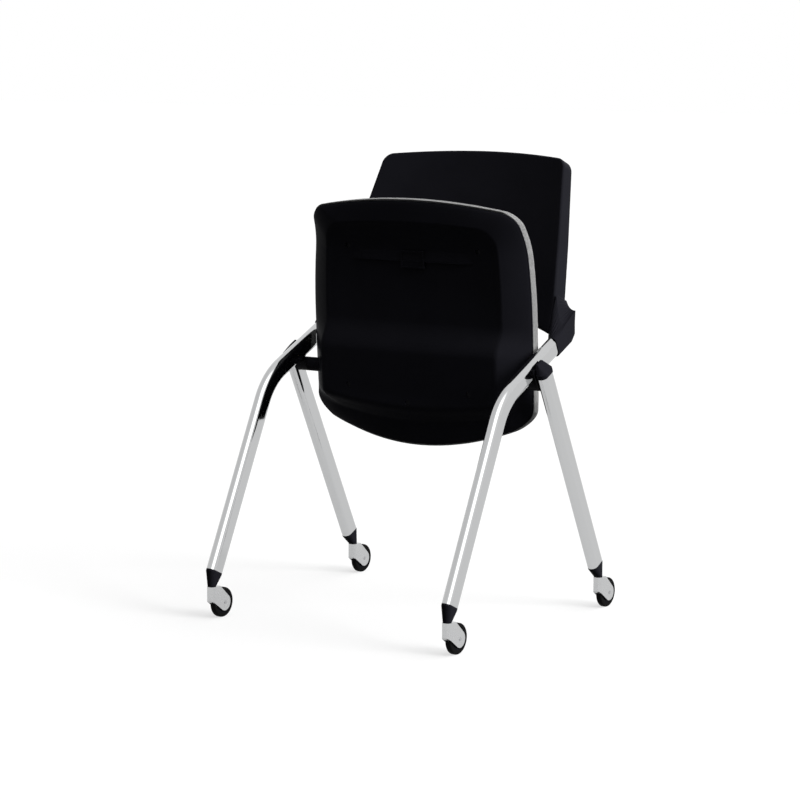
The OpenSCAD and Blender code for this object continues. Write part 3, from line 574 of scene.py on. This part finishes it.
def finger_ridge():
    """The ridge across the recess: it rises gently from the front and fades at both ends."""
    across = np.linspace(-RIDGE_REACH, RIDGE_REACH, RIDGE_STEPS)
    points = []
    for x in across:
        fade = float(ease((RIDGE_REACH - abs(x)) / RIDGE_FADE))
        for run, rise in RIDGE_PROFILE:
            s = RIDGE_S - run * RIDGE_HALF
            share = rise if rise < 0 else rise * fade - RIDGE_SUNK * (1 - fade)
            points.append((x, s, underside(s) - RIDGE_RISE * share))
    count = len(RIDGE_PROFILE)
    faces = ring_faces(len(across), count)
    faces.append(tuple(range(count)))
    faces.append(tuple(range((len(across) - 1) * count, len(across) * count))[::-1])
    ridge = solid("finger_ridge", folded(points), faces)
    shade(ridge.data, RIDGE_AND_STRIP_ANGLE)
    return ridge


def cushion_ring(out, share, t):
    half_l = PAN_HALF + CUSHION_END_OVER + out
    ring = outline(PAN_W / 2 + out, half_l, CORNER_FRONT, CORNER_REAR)
    return folded(seat_points(ring * share, t))


def seat_cushion():
    """The upholstered cushion, blown up as cloth and then smoothed."""
    upper = []
    for reach, share in CUSHION_SIDE:
        out = CUSHION_OVER * reach - CUSHION_SLACK * min(1, share / SLACK_RISE)
        upper.append(cushion_ring(out, 1, lerp(CUSHION_EDGE, CUSHION_TOP, share)))
    top = CUSHION_CROWN - CLOTH_CAP
    for k in CROWN_SHARES:
        upper.append(cushion_ring(0, k, CUSHION_TOP + top * (1 - k**CROWN_POWER)))
    lower = [cushion_ring(-inset, 1, CUSHION_EDGE) for inset in (CUSHION_SEAM_IN, CUSHION_IN)]
    lower += [cushion_ring(-CUSHION_BOTTOM_IN, k, CUSHION_LOW) for k in (1, *BOTTOM_SHARES)]
    mids = folded([(0, PAN_MID, CUSHION_TOP + top), (0, PAN_MID, CUSHION_LOW)])
    cushion = skin("upholstered_seat", upper[::-1] + lower, mids)
    blow_up(cushion)
    finer = cushion.modifiers.new("finer", "SUBSURF")
    finer.levels = finer.render_levels = 1
    evaluated(cushion)
    shade(cushion.data, CUSHION_ANGLE)
    return cushion


def shadow_gap_strip():
    """A black strip between the pan's rim and the upholstery: painted shade, standing in for the shadow in that
    gap.
    """
    rings = []
    for out, t in SHADOW_STRIP_SECTION:
        ring = outline(PAN_W / 2 + out, PAN_HALF + out, CORNER_FRONT, CORNER_REAR)
        rings.append(folded(seat_points(ring, t)))
    faces = ring_faces(len(rings), len(rings[0]), closed=True)
    strip = solid("seat_shadow_gap_strip", np.concatenate(rings), faces)
    shade(strip.data, RIDGE_AND_STRIP_ANGLE)
    return strip


def vertex_places(mesh):
    """The mesh's points, in millimetres."""
    flat = np.empty(len(mesh.vertices) * 3)
    mesh.vertices.foreach_get("co", flat)
    return flat.reshape(-1, 3) / MM


def seat_heights(points):
    """Height t of points, in millimetres, over the seat's falling plane."""
    y, z = points[:, 1] - SEAT_PIVOT[1], points[:, 2] - SEAT_PIVOT[2]
    s = -y * math.cos(SEAT_FOLD) + z * math.sin(SEAT_FOLD)
    return y * math.sin(SEAT_FOLD) + z * math.cos(SEAT_FOLD) + seat_drop(s)


def blow_up(cushion):
    """Inflates the cushion as cloth held at its lower edge. No point moves more than a cap."""
    start = vertex_places(cushion.data)
    low = np.flatnonzero(seat_heights(start) < CUSHION_EDGE + HELD_HEIGHT)
    held = cushion.vertex_groups.new(name="held")
    held.add([int(i) for i in low], 1.0, "REPLACE")
    cloth = cushion.modifiers.new("cloth", "CLOTH")
    cloth.settings.vertex_group_mass = "held"
    cloth.settings.use_pressure = True
    cloth.settings.uniform_pressure_force = CLOTH_PRESSURE
    cloth.settings.effector_weights.gravity = 0
    cloth.point_cache.frame_start = 1
    cloth.point_cache.frame_end = CLOTH_FRAMES
    for number in range(1, CLOTH_FRAMES + 1):
        scene.frame_set(number)
    blown = evaluated(cushion)
    scene.frame_set(1)
    move = vertex_places(blown) - start
    length = np.linalg.norm(move, axis=1, keepdims=True)
    move *= np.minimum(1, CLOTH_CAP / np.maximum(length, TINY))
    blown.vertices.foreach_set("co", ((start + move) * MM).ravel())
    blown.update()


# Back: places across it, along its lean from the middle, and behind its front edges
def back_points(c, behind):
    u = 2 * c[:, 0] / BACK_W_LOW
    v = 2 * c[:, 1] / BACK_H
    widening = (v + BACK_SPLAY) / (1 + BACK_SPLAY)
    half = np.minimum(BACK_W_LOW, lerp(BACK_W_LOW, BACK_W_TOP, widening)) / 2
    rise = np.where(v > 0, BACK_CROWN * u * u, BACK_ARCH * (1 - u * u))
    h = BACK_H / 2 + c[:, 1] - rise * v
    n = behind + BACK_SAG * (1 - u * u)
    y = BACK_FOOT[0] + h * math.sin(BACK_LEAN) + n * math.cos(BACK_LEAN)
    z = BACK_FOOT[1] + h * math.cos(BACK_LEAN) - n * math.sin(BACK_LEAN)
    return np.stack([u * half, y, z], 1)


def back_side(c):
    """Depth of the shell's sides at a height."""
    return lerp(BACK_T_LOW, BACK_T_TOP, (2 * c[:, 1] / BACK_H + 1) / 2)


def back_outline(inset):
    return outline(
        BACK_W_LOW / 2 - inset,
        BACK_H / 2 - inset,
        max(BACK_EDGE, BACK_CORNER - inset),
        max(BACK_SKIN, BACK_LOW_CORNER - inset),
    )


def back_ring(inset, share, behind):
    return back_points(back_outline(inset) * share, behind)


def back_rim(inset, share, inward):
    c = back_outline(inset) * share
    return back_points(c, back_side(c) - inward)


def back_shell():
    """The back's front and sides as one thin shell, open at the rear, with a rounded edge."""
    outer = [back_rim(0, 1, 0)]
    for a in BACK_EDGE_TURNS:
        outer.append(back_ring(BACK_EDGE * (1 - math.cos(a)), 1, BACK_EDGE * (1 - math.sin(a))))
    outer += [back_ring(BACK_EDGE, k, 0) for k in BACK_SHARES[1:]]
    inner = [back_rim(BACK_SKIN, 1, 0)]
    inner += [back_ring(BACK_SKIN, 1, BACK_EDGE + BACK_SKIN)]
    inner += [back_ring(BACK_SKIN + BACK_EDGE, k, BACK_SKIN) for k in BACK_SHARES]
    middle = np.zeros((1, 2))
    mids = [back_points(middle, 0)[0], back_points(middle, BACK_SKIN)[0]]
    shell = skin("back_shell_moulding", outer[::-1] + inner, mids)
    shade(shell.data)
    return shell


def back_rear_panel():
    """The cover in the shell's rear opening, with a rounded edge."""
    inset = BACK_SKIN + PANEL_GAP
    edge = inset + PANEL_LIFT
    outer = [back_rim(inset, 1, PANEL_T), back_rim(inset, 1, 0)]
    outer += [back_rim(inset + PANEL_ROUND_IN * PANEL_LIFT, 1, -PANEL_ROUND_UP * PANEL_LIFT)]
    outer += [back_rim(edge, k, -PANEL_LIFT) for k in BACK_SHARES]
    inner = [back_rim(edge, k, PANEL_T - (0 if k == 1 else PANEL_LIFT)) for k in BACK_SHARES]
    middle = np.zeros((1, 2))
    deep = back_side(middle) + PANEL_LIFT
    mids = [back_points(middle, deep)[0], back_points(middle, deep - PANEL_T)[0]]
    panel = skin("back_rear_moulding", outer[::-1] + inner, mids)
    shade(panel.data)
    return panel


for part in frame["record"]["subparts"]:
    dress(nodes[part["node"]], part["material_slot"])
for node in nodes.values():
    shade(node.data)

pan = seat_pan()
ridge = finger_ridge()
fit_piece(pan, "seat", "black_plastic", "seat_pan")
fit_piece(ridge, "seat", "black_plastic", "seat_pan")
cushion = seat_cushion()
fit_piece(cushion, "seat", "grey_fabric", "seat_cushion")
# The strip below is painted shade: a black piece put where the gap between pan and cushion is only in shadow.
fit_piece(shadow_gap_strip(), "seat", "black_plastic")
fit_piece(back_shell(), "frame", "black_plastic", "back_shell")
fit_piece(back_rear_panel(), "frame", "black_plastic", "back_rear_panel")


# Studio. Directions are an azimuth, where 0 is the front and 90 the right, and an elevation.
# Reflections see white all round, with a bright panel and a side that is slightly shaded.
PANEL_TOWARDS, PANEL_STRENGTH, PANEL_SPREAD = (60.0, 38.0), 1.8, (0.82, 0.99)
SHADE_TOWARDS, SHADE_DEPTH, SHADE_SPREAD = (-50.0, 38.0), 0.14, (0.55, 0.9)
# Matt surfaces see a low fill, one broad light behind on the right, and a low lamp at the right
LIGHT_TOWARDS, LIGHT_STRENGTH, LIGHT_SPREAD = (124.0, 42.0), 2.9, (0.5, 0.95)
LAMP_TOWARDS, LAMP_STRENGTH, LAMP_ANGLE = (93, 25), 3.3, 30
WORLD_FILL, HORIZON = 0.24, 0.06
FLOOR_DIFFUSE, FLOOR_GLOW, FLOOR_SHINE, FLOOR_SIZE = 0.26, 0.64, 0.52, 60


def towards(azimuth, elevation):
    a, e = math.radians(azimuth), math.radians(elevation)
    return (math.sin(a) * math.cos(e), -math.cos(a) * math.cos(e), math.sin(e))


def studio():
    world = bpy.data.worlds.new("studio")
    scene.world = world
    tree = Tree(world)
    rays = tree.node("ShaderNodeLightPath").outputs
    glass = tree.maths("MAXIMUM", rays["Is Glossy Ray"], rays["Is Transmission Ray"])
    shown = tree.maths("MAXIMUM", rays["Is Camera Ray"], glass)
    direction = tree.node("ShaderNodeTexCoord").outputs["Generated"]

    def near(place, spread):
        inputs = {0: direction, 1: towards(*place)}
        dot = tree.node("ShaderNodeVectorMath", inputs, operation="DOT_PRODUCT")
        return tree.step(dot.outputs["Value"], spread)

    def background(strength):
        inputs = {"Color": grey(1.0), "Strength": strength}
        return tree.node("ShaderNodeBackground", inputs).outputs[0]

    panel = tree.maths("MULTIPLY", near(PANEL_TOWARDS, PANEL_SPREAD), PANEL_STRENGTH)
    shaded = tree.maths("MULTIPLY", near(SHADE_TOWARDS, SHADE_SPREAD), -SHADE_DEPTH)
    varied = tree.maths("MULTIPLY", glass, tree.maths("ADD", panel, shaded))
    blob = near(LIGHT_TOWARDS, LIGHT_SPREAD)
    light = tree.maths("MULTIPLY_ADD", blob, LIGHT_STRENGTH, WORLD_FILL)
    height = tree.node("ShaderNodeSeparateXYZ", {"Vector": direction}).outputs["Z"]
    above = tree.maths("MULTIPLY", light, tree.step(height, (-HORIZON, HORIZON)))
    mix = tree.node("ShaderNodeMixShader", {0: shown})
    tree.put(mix.inputs[1], background(above))
    tree.put(mix.inputs[2], background(tree.maths("ADD", varied, 1.0)))
    out = tree.node("ShaderNodeOutputWorld")
    tree.put(out.inputs["Surface"], mix.outputs[0])


def floor():
    """A pale floor that keeps the shadow, white to the camera and in reflections."""
    bpy.ops.mesh.primitive_plane_add(size=FLOOR_SIZE, location=(0, 0, 0))
    plane = bpy.context.object
    plane.name = "floor"
    material = bpy.data.materials.new("studio_floor")
    tree = Tree(material)
    rays = tree.node("ShaderNodeLightPath").outputs
    seen = tree.maths("MULTIPLY", rays["Is Camera Ray"], FLOOR_GLOW)
    strength = tree.maths("MULTIPLY_ADD", rays["Is Glossy Ray"], FLOOR_SHINE, seen)
    matt = tree.node("ShaderNodeBsdfDiffuse", {"Color": grey(FLOOR_DIFFUSE)})
    glow = tree.node("ShaderNodeEmission", {"Color": grey(1.0), "Strength": strength})
    both = tree.node("ShaderNodeAddShader")
    tree.put(both.inputs[0], matt.outputs[0])
    tree.put(both.inputs[1], glow.outputs[0])
    out = tree.node("ShaderNodeOutputMaterial")
    tree.put(out.inputs["Surface"], both.outputs[0])
    plane.data.materials.append(material)
    plane.visible_diffuse = False


def lamp():
    """A distant soft lamp, left out of reflections, where the studio's panel stands for it."""
    data = bpy.data.lights.new("side_light", "SUN")
    data.energy = LAMP_STRENGTH
    data.angle = math.radians(LAMP_ANGLE)
    piece = bpy.data.objects.new("side_light", data)
    scene.collection.objects.link(piece)
    piece.rotation_mode = "QUATERNION"
    piece.rotation_quaternion = (-Vector(towards(*LAMP_TOWARDS))).to_track_quat("-Z", "Y")
    piece.visible_glossy = False


def camera():
    data = bpy.data.cameras.new("camera")
    data.lens = CAMERA_LENS
    data.sensor_width = SENSOR
    data.clip_end = CAMERA_REACH
    view = bpy.data.objects.new("camera", data)
    view.location = CAMERA_AT
    view.rotation_euler = (math.radians(90 - CAMERA_ELEVATION), 0, math.radians(CAMERA_AZIMUTH))
    scene.collection.objects.link(view)
    scene.camera = view


studio()
floor()
lamp()
camera()
scene.view_settings.view_transform = "Standard"
